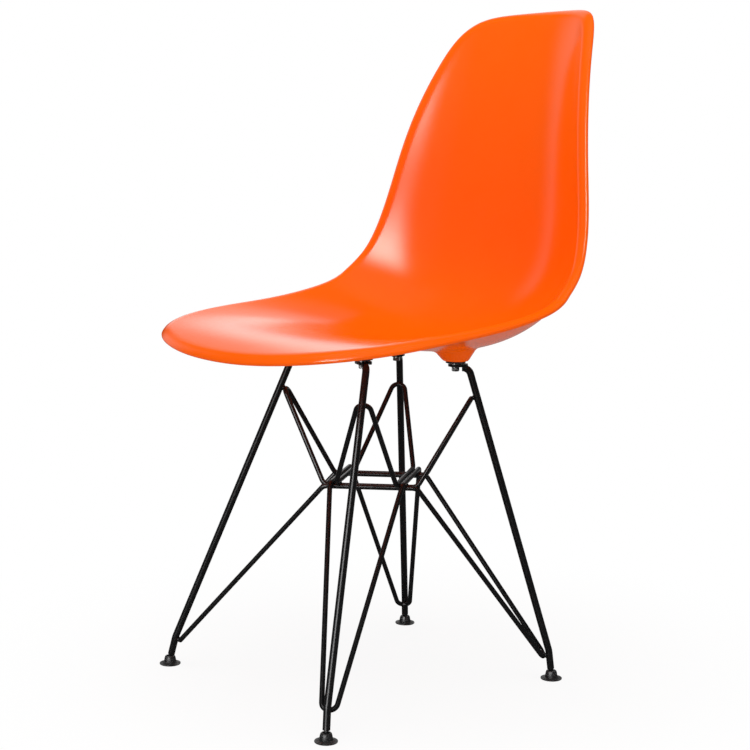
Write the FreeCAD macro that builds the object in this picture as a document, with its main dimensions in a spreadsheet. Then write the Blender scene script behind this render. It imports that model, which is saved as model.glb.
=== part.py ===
"""Moulded plastic shell chair on a base of bent and welded steel rod.

Millimetres. +Z is up, the sitter looks along -Y and +X is the sitter's left.
The origin is on the floor, under the middle of the chair's length and width.
"""
import FreeCAD, Part
import math
import os
import Sketcher
from FreeCAD import Placement, Rotation, Vector

doc = FreeCAD.newDocument("shell_chair")
UP = Vector(0, 0, 1)
ACROSS = Vector(1, 0, 0)

# Driving sizes. Lengths along Y are measured from the middle of the four feet.
SIZES = [
    # The seat's centre line from the front lip to the top: place, height and how dished the section is there.
    ("lip_y", -214.1, "where the seat starts to roll over at the front"),
    ("lip_z", 417.7, ""),
    ("lip_dish", 5.4, "rise of the section at dish_reach from the centre line"),
    ("crest_y", -150, "highest point of the seat's front"),
    ("crest_z", 428.3, ""),
    ("crest_dish", 4.7, ""),
    ("seat_y", -38, "middle of the seat"),
    ("seat_z", 420.2, ""),
    ("seat_dish", 23.2, ""),
    ("hollow_y", 59.9, "lowest point of the seat"),
    ("hollow_z", 404.8, ""),
    ("hollow_dish", 49.4, ""),
    ("bend_y", 143.7, "the seat turns up into the back"),
    ("bend_z", 412.7, ""),
    ("bend_dish", 67.5, ""),
    ("heel_y", 197.8, "end of the tight bend"),
    ("heel_z", 460.8, ""),
    ("heel_dish", 71.5, ""),
    ("lumbar_y", 221, "small of the back"),
    ("lumbar_z", 543, ""),
    ("lumbar_dish", 70, ""),
    ("back_y", 229, "middle of the back"),
    ("back_z", 630, ""),
    ("back_dish", 78, ""),
    ("upper_y", 243, "upper back"),
    ("upper_z", 729, ""),
    ("upper_dish", 87.6, ""),
    ("top_y", 265, "where the back starts to roll over at the top"),
    ("top_z", 805.7, ""),
    ("top_dish", 88.2, ""),
    ("dish_reach", 200, "distance from the centre line at which the dish is measured"),
    # Half widths of the sheet inside its rolled rim, from the front to the top.
    ("front_edge_half", 107.9, "front edge before the corner"),
    ("front_corner_half", 161.5, "front corner"),
    ("front_seat_half", 197.8, "behind the front corner"),
    ("mid_seat_half", 205.8, "widest part of the seat"),
    ("rear_seat_half", 205.2, "rear of the seat"),
    ("bend_half", 199.4, "at the bend"),
    ("waist_half", 190.8, "above the bend"),
    ("lumbar_half", 172.5, "small of the back"),
    ("back_half", 150.1, "middle of the back"),
    ("upper_half", 124.1, "upper back"),
    ("top_corner_half", 96.6, "top corner"),
    ("top_edge_half", 53.8, "top edge before the corner"),
    ("shell_wall", 5.8, "thickness of the moulded sheet"),
    ("rim_roll", 15.3, "radius of the rolled rim on the sitter's side"),
    ("rim_turn", 59.6, "degrees that the rim rolls over"),
    # The four mounting bosses under the seat.
    ("mount_half", 58.5, "each bolt's distance from the centre line"),
    ("front_mount_y", -51.5, ""),
    ("rear_mount_y", 88, ""),
    ("boss_foot_diameter", 31, "boss at its flat end"),
    ("boss_root_diameter", 53, "boss where it runs into the seat"),
    ("insert_diameter", 9, "threaded steel insert in the boss"),
    ("insert_length", 10, ""),
    ("insert_recess", 0.5, "how far the insert sits inside the boss"),
    ("insert_waist", 7.9, "diameter between the insert's gripping bands"),
    ("insert_band", 3, "length of each gripping band"),
    ("insert_chamfer", 0.6, "length of the slope from band to waist"),
    ("insert_end_wall", 1, "wall over the blind thread"),
    # Washers, mounting plates and bolts, from the boss down.
    ("rubber_diameter", 24, "rubber washer"),
    ("rubber_thickness", 2.5, ""),
    ("spacer_diameter", 17, "steel spacer washer"),
    ("spacer_thickness", 1.4, ""),
    ("plate_length", 25, "mounting plate welded on the leg"),
    ("plate_width", 18, ""),
    ("plate_thickness", 3, ""),
    ("front_plate_z", 395.5, "underside of the front plates"),
    ("rear_plate_z", 382.5, "underside of the rear plates"),
    ("bolt_diameter", 5, ""),
    ("bolt_hole_play", 0.5, "added to the bolt's diameter in plate and washers"),
    ("bolt_flats", 8, "hexagon head across its flats"),
    ("bolt_head_height", 3.6, ""),
    ("bolt_crown", 7.7, "diameter of the flat on the head's rounded face"),
    ("bolt_tip_gap", 2, "from the bolt's tip to the insert's blind end"),
    ("thread_play", 0.05, "radial gap between bolt and insert"),
    ("washer_diameter", 11, "plain washer"),
    ("washer_thickness", 1, ""),
    ("spring_washer_diameter", 9, ""),
    ("spring_washer_thickness", 1.3, ""),
    ("spring_washer_split", 0.8, "width of the split"),
    # Leg rods: a short level run under the plate, a straight leg, a shorter steep stub over the foot.
    ("leg_rod", 8.6, "diameter of the leg rods"),
    ("front_shoulder_x", 74, "upper bend of the front legs"),
    ("front_shoulder_y", -57.2, ""),
    ("rear_shoulder_x", 68.7, "upper bend of the rear legs"),
    ("rear_shoulder_y", 100.5, ""),
    ("front_ankle_x", 164.2, "lower bend of the front legs"),
    ("front_ankle_y", -171.9, ""),
    ("rear_ankle_x", 143.9, "lower bend of the rear legs"),
    ("rear_ankle_y", 174, ""),
    ("ankle_z", 35.3, "height of the lower bends"),
    ("front_foot_x", 169.4, ""),
    ("front_foot_y", -176.8, ""),
    ("rear_foot_x", 146.4, ""),
    ("rear_foot_y", 176.8, ""),
    ("shoulder_bend", 10.5, "bend radius on the rod's axis"),
    ("ankle_bend", 30, ""),
    ("rod_setback", 7.8, "from the bolt's axis to the leg rod's end and the slot in the plate"),
    ("rod_drop", 0.3, "how far the leg rod's top lies under the plate's top"),
    ("slot_play", 0.1, "added to the leg rod's diameter in the plate's slot"),
    # Wire loops: two bars side by side in the middle and a hairpin at each end.
    ("wire_rod", 6, "diameter of the loop wire"),
    ("crossing_z", 244, "height at which the two layers of loops touch"),
    ("loop_axis_shift", 9, "how far a loop's centre line passes from the middle of the feet"),
    ("loop_front_reach", 46, "front bends of the bars, along the loop"),
    ("loop_rear_reach", 66, "rear bends of the bars, along the loop"),
    ("loop_yaw", 48.5, "degrees between a loop and the chair's width"),
    ("loop_skew", 6, "how much further the outer bar sits to the rear than the inner bar"),
    ("lower_half_gap", 43.3, "half the distance between a lower loop's bars"),
    ("upper_half_gap", 35.8, "half the distance between an upper loop's bars"),
    ("wire_bend", 10, "bend radius on the wire's axis"),
    ("lower_hairpin", 9, "radius of the hairpins at the feet"),
    ("upper_hairpin", 9, "radius of the hairpins at the shoulders"),
    ("front_lower_weld_z", 33, "height on the leg at which a lower hairpin is welded"),
    ("rear_lower_weld_z", 29.5, ""),
    ("front_upper_weld_z", 353, "height on the leg at which an upper hairpin is welded"),
    ("rear_upper_weld_z", 346, ""),
    ("weld_sink", 0.1, "how far welded rods run into each other"),
    # Glides: a plastic foot that tilts on a steel ball stud pressed into the leg.
    ("glide_diameter", 26, ""),
    ("glide_edge", 1.4, "height of the glide's outer edge"),
    ("glide_waist", 15, "diameter where the flare meets the dome"),
    ("glide_waist_z", 2.6, ""),
    ("glide_top", 12.6, "diameter of the dome's top"),
    ("glide_height", 10.5, ""),
    ("glide_chamfer", 0.4, "at the sole's edge"),
    ("glide_hollow", 0.3, "how far the flange's top dips"),
    ("glide_swell", 0.3, "how far the dome's side swells out"),
    ("glide_crown", 0.8, "bevel round the dome's top"),
    ("ball_diameter", 8, ""),
    ("ball_z", 6.2, "height of the ball's centre"),
    ("ball_play", 0.05, "radial gap between ball and socket"),
    ("socket_lip", 2.3, "height of the socket's lip above the ball's centre"),
    ("socket_mouth", 8.2, "diameter of the flared mouth"),
    ("stud_neck", 4, "diameter of the neck between ball and collar"),
    ("stud_collar", 6, "collar under the leg"),
    ("collar_gap", 6, "from the ball's centre to the collar"),
    ("collar_height", 0.6, ""),
    ("stud_shank", 5, "diameter of the shank inside the leg"),
    ("stud_depth", 12, "length of the shank inside the leg"),
    ("stud_end_gap", 1, "room left over the shank"),
    ("press_play", 0.01, "radial gap left at pressed and moulded-in joints"),
]

sheet = doc.addObject("Spreadsheet::Sheet", "Sizes")
for row, (alias, value, note) in enumerate(SIZES, start=1):
    sheet.set("A%d" % row, alias)
    sheet.set("B%d" % row, str(value))
    sheet.setAlias("B%d" % row, alias)
    sheet.set("C%d" % row, note)
doc.recompute()


def size(alias):
    return float(getattr(sheet, alias))


def bind(obj, prop, formula):
    """Ties a property to the sheet: each bare word in the formula is a size's alias."""
    words = formula.split(" ")
    known = {alias for alias, value, note in SIZES}
    obj.setExpression(prop, " ".join("Sizes." + w if w in known else w for w in words))


sub_parts = []


def finish_sub_part(obj, label, placement=None):
    obj.Label = label
    if placement is not None:
        obj.Placement = placement
    sub_parts.append(obj)
    return obj


def shape_feature(label, shape, placement=Placement()):
    obj = doc.addObject("Part::Feature", label)
    obj.Shape = shape
    obj.Label = label
    obj.Placement = placement
    return obj


def along(direction):
    """Rotation that turns +Z to the given direction."""
    return Rotation(UP, direction)


# The moulded seat shell.
# Its middle is a sheet swept along the centre line, each section a shallow dish. The rim is a roll of
# constant radius that leaves the sheet at the outline and turns outwards and down.
STATIONS = ["lip", "crest", "seat", "hollow", "bend", "heel", "lumbar", "back", "upper", "top"]
OUTLINE = [
    # share of the centre line's length, half width there
    (0.000, None),
    (0.017, "front_edge_half"),
    (0.050, "front_corner_half"),
    (0.116, "front_seat_half"),
    (0.225, "mid_seat_half"),
    (0.365, "rear_seat_half"),
    (0.483, "bend_half"),
    (0.595, "waist_half"),
    (0.709, "lumbar_half"),
    (0.819, "back_half"),
    (0.918, "upper_half"),
    (0.978, "top_corner_half"),
    (0.996, "top_edge_half"),
    (1.000, None),
]
DISH_POWER = 2.2
RIBS = 56
SPARE_RIBS = 3
ROLL_STEPS = 5
LIP_STEPS = 4
RIB_SHARES = [0.0, 0.03, 0.08, 0.15, 0.25, 0.36, 0.48, 0.6, 0.73, 0.86, 1.0]
INNER_START = 0.16
INNER_END = 0.84


def chord_lengths(points):
    lengths = [0.0]
    for a, b in zip(points, points[1:]):
        lengths.append(lengths[-1] + (b - a).Length)
    return lengths


line_points = [Vector(0, size(n + "_y"), size(n + "_z")) for n in STATIONS]
line_at = chord_lengths(line_points)
line_length = line_at[-1]
centre_line = Part.BSplineCurve()
centre_line.interpolate(Points=line_points, Parameters=line_at)
dish_line = Part.BSplineCurve()
dish_line.interpolate(Points=[Vector(size(n + "_dish"), 0, 0) for n in STATIONS], Parameters=line_at)

half_outline = [Vector(size(w) if w else 0, share * line_length, 0) for share, w in OUTLINE]
outline_at = chord_lengths(half_outline)
outline = Part.BSplineCurve()
outline.interpolate(
    Points=half_outline,
    Parameters=outline_at,
    InitialTangent=ACROSS,
    FinalTangent=ACROSS * -1,
    Scale=False,
)


def sheet_point(p, q):
    """Point of the sitter's face, p along the centre line and q across it."""
    centre = centre_line.value(p)
    tangent = centre_line.tangent(p)[0]
    normal = ACROSS.cross(tangent)
    dish = dish_line.value(p).x * (abs(q) / size("dish_reach")) ** DISH_POWER
    return centre + ACROSS * q + normal * dish


def sheet_frame(p, q, step=0.5):
    """Tangents along p and q, and the normal towards the sitter."""
    low = max(p - step, 0)
    high = min(p + step, line_length)
    along_p = (sheet_point(high, q) - sheet_point(low, q)) * (1 / (high - low))
    along_q = (sheet_point(p, q + step) - sheet_point(p, q - step)) * (0.5 / step)
    return along_p, along_q, along_q.cross(along_p).normalize()


def outline_frame(at):
    """Outline point, the way out of the sheet there, and the normal towards the sitter."""
    spot = outline.value(at)
    run = outline.tangent(at)[0]
    along_p, along_q, normal = sheet_frame(spot.y, spot.x)
    edge = (along_p * run.y + along_q * run.x).normalize()
    return spot, sheet_point(spot.y, spot.x), edge.cross(normal).normalize(), normal


def rib_points(at, depth):
    """One rib of the sitter's face moved back by depth: from the rim's edge to the centre line."""
    spot, foot, outward, normal = outline_frame(at)
    roll = size("rim_roll")
    points = []
    for i in range(ROLL_STEPS, 0, -1):
        turn = math.radians(size("rim_turn")) * i / ROLL_STEPS
        spoke = outward * math.sin(turn) + normal * math.cos(turn)
        points.append(foot - normal * roll + spoke * (roll - depth))
    inner_p = line_length * (INNER_START + (INNER_END - INNER_START) * spot.y / line_length)
    for share in RIB_SHARES:
        p = spot.y + (inner_p - spot.y) * share
        q = spot.x * (1 - share)
        points.append(sheet_point(p, q) - sheet_frame(p, q)[2] * depth)
    return points


def lip_points(at):
    """The rounded edge of the rim, from the sitter's face round to the back face."""
    spot, foot, outward, normal = outline_frame(at)
    turn = math.radians(size("rim_turn"))
    spoke = outward * math.sin(turn) + normal * math.cos(turn)
    onward = outward * math.cos(turn) - normal * math.sin(turn)
    half_wall = size("shell_wall") / 2
    middle = foot - normal * size("rim_roll") + spoke * (size("rim_roll") - half_wall)
    points = []
    for i in range(LIP_STEPS + 1):
        a = math.pi * i / LIP_STEPS
        points.append(middle + (spoke * math.cos(a) + onward * math.sin(a)) * half_wall)
    return points


def through(points, at):
    curve = Part.BSplineCurve()
    curve.interpolate(Points=points, Parameters=at)
    return curve


def skin(rows, row_at):
    """Smooth face through a grid of points, one row per rib and a rib at each whole number."""
    rib_at = [float(i - SPARE_RIBS) for i in range(len(rows))]
    lines = [through([row[j] for row in rows], rib_at) for j in range(len(row_at))]
    pole_rows = []
    for i in range(lines[0].NbPoles):
        across = through([line.getPole(i + 1) for line in lines], row_at)
        pole_rows.append(across.getPoles())
    surface = Part.BSplineSurface()
    surface.buildFromPolesMultsKnots(
        pole_rows,
        lines[0].getMultiplicities(),
        across.getMultiplicities(),
        lines[0].getKnots(),
        across.getKnots(),
        False,
        False,
        3,
        3,
    )
    surface.segment(0.0, float(RIBS), row_at[0], row_at[-1])
    return surface.toShape()


def mirrored(points):
    return [Vector(-p.x, p.y, p.z) for p in points]


def with_mirrored_ends(rows):
    """Adds the three mirrored rows past each end, which keeps the joint on the centre line smooth."""
    before = [mirrored(row) for row in rows[SPARE_RIBS:0:-1]]
    after = [mirrored(row) for row in rows[-2:-2 - SPARE_RIBS:-1]]
    return before + rows + after


def half_shell_faces():
    """Sitter's face, back face and lip of the left half."""
    stations = [outline_at[-1] * i / RIBS for i in range(RIBS + 1)]
    front = with_mirrored_ends([rib_points(at, 0) for at in stations])
    rear = with_mirrored_ends([rib_points(at, size("shell_wall")) for at in stations])
    lips = with_mirrored_ends([lip_points(at) for at in stations])
    row_at = chord_lengths(front[len(front) // 2])
    lip_at = [float(i) for i in range(LIP_STEPS + 1)]
    return [skin(front, row_at), skin(rear, row_at), skin(lips, lip_at)]


def closed_shell(faces):
    both = faces + [face.mirror(Vector(0, 0, 0), ACROSS) for face in faces]
    sewn = Part.Shell(both)
    sewn.sewShape()
    solid = Part.Solid(sewn)
    if solid.Volume < 0:
        solid.reverse()
    return solid


def centre_parameter(y):
    """Place along the centre line at which the seat passes over y."""
    low = 0.0
    high = line_at[STATIONS.index("bend")]
    for _ in range(40):
        middle = (low + high) / 2
        if centre_line.value(middle).y < y:
            low = middle
        else:
            high = middle
    return (low + high) / 2


def boss_foot_z(plate_z):
    return plate_z + size("plate_thickness") + size("spacer_thickness") + size("rubber_thickness")


def mount_points():
    """Name, bolt place on the plate's underside, for the four corners."""
    half = size("mount_half")
    corners = []
    for end in ("front", "rear"):
        y = size(end + "_mount_y")
        z = size(end + "_plate_z")
        corners.append((end + "_left", Vector(half, y, z)))
        corners.append((end + "_right", Vector(-half, y, z)))
    return corners


def boss(spot):
    """A cone from the flat foot up to the middle of the wall, square to the seat at its root."""
    p = centre_parameter(spot.y)
    normal = sheet_frame(p, spot.x)[2]
    root = sheet_point(p, spot.x) - normal * (size("shell_wall") / 2)
    foot = Vector(spot.x, spot.y, boss_foot_z(spot.z))
    foot_edge = Part.Circle(foot, UP, size("boss_foot_diameter") / 2).toShape()
    root_edge = Part.Circle(root, normal, size("boss_root_diameter") / 2).toShape()
    return Part.makeLoft([Part.Wire(foot_edge), Part.Wire(root_edge)], True, True)


def insert_pocket(spot):
    foot = Vector(spot.x, spot.y, boss_foot_z(spot.z))
    radius = size("insert_diameter") / 2 + size("press_play")
    return Part.makeCylinder(radius, size("insert_length") + size("insert_recess"), foot)


seat = closed_shell(half_shell_faces())
for name, spot in mount_points():
    seat = seat.fuse(boss(spot))
for name, spot in mount_points():
    seat = seat.cut(insert_pocket(spot))
extent = seat.optimalBoundingBox(False)
HOME = Placement(Vector(0, -(extent.YMin + extent.YMax) / 2, 0), Rotation())
finish_sub_part(shape_feature("seat_shell", seat), "seat_shell", HOME)


def turned(points):
    """Solid turned about Z from half a section given as (radius, height) points."""
    edge = Part.makePolygon([Vector(r, 0, z) for r, z in points + points[:1]])
    return Part.Face(edge).revolve(Vector(0, 0, 0), UP, 360)


def ring_feature(name, outer, hole, height):
    """A washer: two cylinders bound to the sheet, one cut from the other."""
    body = doc.addObject("Part::Cylinder", name + "_disc")
    bind(body, "Radius", outer + " / 2")
    bind(body, "Height", height)
    bore = doc.addObject("Part::Cylinder", name + "_bore")
    bind(bore, "Radius", hole)
    bind(bore, "Height", height)
    washer = doc.addObject("Part::Cut", name)
    washer.Base = body
    washer.Tool = bore
    return washer


BOLT_HOLE = "( bolt_diameter + bolt_hole_play ) / 2"


def thread_insert(name):
    """Steel insert moulded into the boss: two gripping bands with a waist, and a blind thread."""
    outer = size("insert_diameter") / 2
    bore = size("bolt_diameter") / 2
    length = size("insert_length")
    waist = size("insert_waist") / 2
    band = size("insert_band")
    slope_end = band + size("insert_chamfer")
    blind = length - size("insert_end_wall")
    profile = [
        (bore, 0),
        (outer, 0),
        (outer, band),
        (waist, slope_end),
        (waist, length - slope_end),
        (outer, length - band),
        (outer, length),
        (0, length),
        (0, blind),
        (bore, blind),
    ]
    return shape_feature(name, turned(profile))


def spring_washer(name):
    """A flat split ring."""
    washer = ring_feature(name + "_ring", "spring_washer_diameter", BOLT_HOLE, "spring_washer_thickness")
    slit = doc.addObject("Part::Box", name + "_slit")
    bind(slit, "Length", "spring_washer_diameter")
    bind(slit, "Width", "spring_washer_split")
    bind(slit, "Height", "spring_washer_thickness")
    cut = doc.addObject("Part::Cut", name)
    cut.Base = washer
    cut.Tool = slit
    return cut


def bolt(name):
    """Hexagon bolt that stands head down, its shank running up from the origin."""
    head = doc.addObject("Part::Prism", name + "_head")
    head.Polygon = 6
    bind(head, "Circumradius", "bolt_flats / sqrt(3)")
    bind(head, "Height", "bolt_head_height")
    bind(head, "Placement.Base.z", "- bolt_head_height")
    crown = doc.addObject("Part::Cone", name + "_crown")
    bind(crown, "Radius1", "bolt_crown / 2")
    bind(crown, "Radius2", "bolt_crown / 2 + bolt_head_height")
    bind(crown, "Height", "bolt_head_height")
    bind(crown, "Placement.Base.z", "- bolt_head_height")
    rounded = doc.addObject("Part::Common", name + "_rounded")
    rounded.Base = head
    rounded.Tool = crown
    shank = doc.addObject("Part::Cylinder", name + "_shank")
    bind(shank, "Radius", "bolt_diameter / 2 - thread_play")
    stack = "plate_thickness + spacer_thickness + rubber_thickness + washer_thickness"
    reach = "insert_recess + insert_length - insert_end_wall - bolt_tip_gap"
    bind(shank, "Height", stack + " + spring_washer_thickness + " + reach)
    whole = doc.addObject("Part::Fuse", name)
    whole.Base = rounded
    whole.Tool = shank
    return whole


def mount_plate(name):
    """Flat plate with round ends along +X: a bolt hole at its tail and a slot for the leg rod at its nose."""
    body = doc.addObject("PartDesign::Body", name + "_blank")
    sketch = body.newObject("Sketcher::SketchObject", name + "_outline")
    plane = next(f for f in body.Origin.OriginFeatures if f.Role == "XY_Plane")
    sketch.AttachmentSupport = [(plane, "")]
    sketch.MapMode = "FlatFace"
    half = size("plate_width") / 2
    tail = Vector(0, 0, 0)
    nose = Vector(size("plate_length") - size("plate_width"), 0, 0)
    side = Vector(0, half, 0)
    quarter = math.pi / 2
    top = sketch.addGeometry(Part.LineSegment(tail + side, nose + side))
    low = sketch.addGeometry(Part.LineSegment(tail - side, nose - side))
    tail_arc = sketch.addGeometry(Part.ArcOfCircle(Part.Circle(tail, UP, half), quarter, 3 * quarter))
    nose_arc = sketch.addGeometry(Part.ArcOfCircle(Part.Circle(nose, UP, half), -quarter, quarter))
    hole = sketch.addGeometry(Part.Circle(tail, UP, size("bolt_diameter") / 2))
    sketch.addConstraint(Sketcher.Constraint("Tangent", top, 1, tail_arc, 1))
    sketch.addConstraint(Sketcher.Constraint("Tangent", tail_arc, 2, low, 1))
    sketch.addConstraint(Sketcher.Constraint("Tangent", low, 2, nose_arc, 1))
    sketch.addConstraint(Sketcher.Constraint("Tangent", nose_arc, 2, top, 2))
    sketch.addConstraint(Sketcher.Constraint("Coincident", tail_arc, 3, -1, 1))
    sketch.addConstraint(Sketcher.Constraint("Coincident", hole, 3, -1, 1))
    sketch.addConstraint(Sketcher.Constraint("PointOnObject", nose_arc, 3, -1))
    sketch.addConstraint(Sketcher.Constraint("Equal", tail_arc, nose_arc))
    width = sketch.addConstraint(Sketcher.Constraint("Radius", tail_arc, half))
    reach = sketch.addConstraint(Sketcher.Constraint("DistanceX", -1, 1, nose_arc, 3, nose.x))
    bore = sketch.addConstraint(Sketcher.Constraint("Radius", hole, size("bolt_diameter") / 2))
    bind(sketch, "Constraints[%d]" % width, "plate_width / 2")
    bind(sketch, "Constraints[%d]" % reach, "plate_length - plate_width")
    bind(sketch, "Constraints[%d]" % bore, BOLT_HOLE)
    pad = body.newObject("PartDesign::Pad", name + "_pad")
    pad.Profile = sketch
    bind(pad, "Length", "plate_thickness")
    slot = doc.addObject("Part::Box", name + "_slot")
    bind(slot, "Length", "plate_length")
    bind(slot, "Width", "leg_rod + slot_play")
    bind(slot, "Height", "plate_thickness")
    bind(slot, "Placement.Base.x", "rod_setback")
    bind(slot, "Placement.Base.y", "- ( leg_rod + slot_play ) / 2")
    plate = doc.addObject("Part::Cut", name)
    plate.Base = body
    plate.Tool = slot
    return plate


def rod_path(corners, radii, closed=False):
    """Straight runs joined by tangent arcs; radii holds one bend radius for each inner corner."""
    count = len(corners)
    edges = []
    bends = {}
    inner = range(count) if closed else range(1, count - 1)
    for i in inner:
        here = corners[i]
        back = (corners[i - 1] - here).normalize()
        ahead = (corners[(i + 1) % count] - here).normalize()
        half_turn = (math.pi - back.getAngle(ahead)) / 2
        radius = radii[i] if closed else radii[i - 1]
        reach = radius * math.tan(half_turn)
        bisector = (back + ahead).normalize()
        middle = here + bisector * (radius / math.cos(half_turn) - radius)
        bends[i] = (here + back * reach, middle, here + ahead * reach)
    spots = list(range(count)) + ([0] if closed else [])
    for i, j in zip(spots, spots[1:]):
        start = bends[i][2] if i in bends else corners[i]
        end = bends[j][0] if j in bends else corners[j]
        edges.append(Part.LineSegment(start, end).toShape())
        if j in bends:
            edges.append(Part.Arc(*bends[j]).toShape())
    return edges


def rod(edges, diameter):
    """Round rod along a path; the volume is checked against section times length."""
    wire = Part.Wire(edges)
    start = wire.OrderedVertexes[0].Point
    direction = wire.OrderedEdges[0].tangentAt(wire.OrderedEdges[0].FirstParameter)
    section = Part.Wire(Part.Circle(start, direction, diameter / 2).toShape())
    solid = wire.makePipeShell([section], True, False)
    expected = math.pi * diameter ** 2 / 4 * wire.Length
    if abs(solid.Volume / expected - 1) > 0.002:
        raise RuntimeError("a bent rod has the wrong volume")
    return solid


class Leg:
    """Axis points of one leg, worked out from its mount, bends and foot."""

    def __init__(self, end, side):
        sign = 1 if side == "left" else -1
        plate_z = size(end + "_plate_z")
        self.bolt = Vector(sign * size("mount_half"), size(end + "_mount_y"), plate_z)
        level = plate_z + size("plate_thickness") - size("rod_drop") - size("leg_rod") / 2
        shoulder_x = sign * size(end + "_shoulder_x")
        self.shoulder = Vector(shoulder_x, size(end + "_shoulder_y"), level)
        self.ankle = Vector(sign * size(end + "_ankle_x"), size(end + "_ankle_y"), size("ankle_z"))
        self.ball = Vector(sign * size(end + "_foot_x"), size(end + "_foot_y"), size("ball_z"))
        bolt_axis = Vector(self.bolt.x, self.bolt.y, level)
        self.heading = (self.shoulder - bolt_axis).normalize()
        self.start = bolt_axis + self.heading * size("rod_setback")
        self.lean = (self.ankle - self.ball).normalize()
        self.end = self.ball + self.lean * (size("collar_gap") + size("collar_height"))

    def at_height(self, z):
        """Point of the leg's axis at a height, and the axis' direction there."""
        low, high = (self.ankle, self.shoulder) if z > self.ankle.z else (self.ball, self.ankle)
        rise = high - low
        return low + rise * ((z - low.z) / rise.z), rise.normalize()


ENDS = ("front", "rear")
SIDES = ("left", "right")
legs = {(end, side): Leg(end, side) for end in ENDS for side in SIDES}


def leg_rod(leg):
    corners = [leg.start, leg.shoulder, leg.ankle, leg.end]
    path = rod_path(corners, [size("shoulder_bend"), size("ankle_bend")])
    solid = rod(path, size("leg_rod"))
    radius = size("stud_shank") / 2 + size("press_play")
    bore = Part.makeCylinder(radius, size("stud_depth") + size("stud_end_gap"), leg.end, leg.lean)
    return solid.cut(bore)


class Loop:
    """One closed wire loop between two legs on a diagonal."""

    def __init__(self, front_leg, rear_leg, storey, level):
        self.front_leg = front_leg
        self.rear_leg = rear_leg
        self.half_gap = size(storey + "_half_gap")
        self.hairpin = size(storey + "_hairpin")
        self.front_weld_z = size("front_" + storey + "_weld_z")
        self.rear_weld_z = size("rear_" + storey + "_weld_z")
        self.level = level
        side = 1 if front_leg.ball.x > 0 else -1
        yaw = math.radians(size("loop_yaw"))
        self.run = Vector(-side * math.cos(yaw), math.sin(yaw), 0)
        self.across = Vector(side * math.sin(yaw), math.cos(yaw), 0)

    def bar_bend(self, bar, reach):
        skew = bar * size("loop_skew") / 2
        offset = size("loop_axis_shift") + bar * self.half_gap
        return self.run * (reach + skew) + self.across * offset + UP * self.level

    def hairpin_corner(self, leg, weld_z, bends):
        """Where the two wires of a hairpin would meet, so that its round end is welded on the leg."""
        spot, rise = leg.at_height(weld_z)
        outward = rise.cross(self.across).normalize()
        if outward.dot(leg.ball) < 0:
            outward = outward * -1
        rods = (size("leg_rod") + size("wire_rod")) / 2 - size("weld_sink")
        apex = spot - outward * rods
        middle = (bends[0] + bends[1]) * 0.5
        reach = (apex - middle).Length
        gap = (bends[1] - bends[0]).Length / 2
        centre = reach - self.hairpin
        square = gap ** 2 - self.hairpin ** 2
        root = math.sqrt(gap ** 4 * centre ** 2 - square * gap ** 2 * (centre ** 2 - self.hairpin ** 2))
        meet = (gap ** 2 * centre + root) / square
        return middle + (apex - middle) * (meet / reach)

    def solid(self):
        """Two halves that meet in the middle of each bar, welded into one ring."""
        fronts = [self.bar_bend(bar, -size("loop_front_reach")) for bar in (-1, 1)]
        rears = [self.bar_bend(bar, size("loop_rear_reach")) for bar in (-1, 1)]
        joints = [(fronts[i] + rears[i]) * 0.5 for i in (0, 1)]
        halves = []
        ends = (
            (self.front_leg, self.front_weld_z, fronts),
            (self.rear_leg, self.rear_weld_z, rears),
        )
        for leg, weld_z, bends in ends:
            corner = self.hairpin_corner(leg, weld_z, bends)
            corners = [joints[0], bends[0], corner, bends[1], joints[1]]
            path = rod_path(corners, [size("wire_bend"), self.hairpin, size("wire_bend")])
            halves.append(rod(path, size("wire_rod")))
        return halves[0].fuse(halves[1])


def ball_stud(name):
    """Ball, neck, collar and shank in one turned piece, the ball's centre on the origin."""
    ball = doc.addObject("Part::Sphere", name + "_ball")
    bind(ball, "Radius", "ball_diameter / 2")
    neck = doc.addObject("Part::Cylinder", name + "_neck")
    bind(neck, "Radius", "stud_neck / 2")
    bind(neck, "Height", "collar_gap")
    collar = doc.addObject("Part::Cylinder", name + "_collar")
    bind(collar, "Radius", "stud_collar / 2")
    bind(collar, "Height", "collar_height")
    bind(collar, "Placement.Base.z", "collar_gap")
    shank = doc.addObject("Part::Cylinder", name + "_shank")
    bind(shank, "Radius", "stud_shank / 2")
    bind(shank, "Height", "collar_height + stud_depth")
    bind(shank, "Placement.Base.z", "collar_gap")
    whole = doc.addObject("Part::MultiFuse", name)
    whole.Shapes = [ball, neck, collar, shank]
    return whole


def bowed(start, end, swell):
    """Point beside the middle of a section's chord, to the right of the way from start to end."""
    chord = (end - start).normalize()
    return (start + end) * 0.5 + Vector(chord.z, 0, -chord.x) * swell


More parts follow.
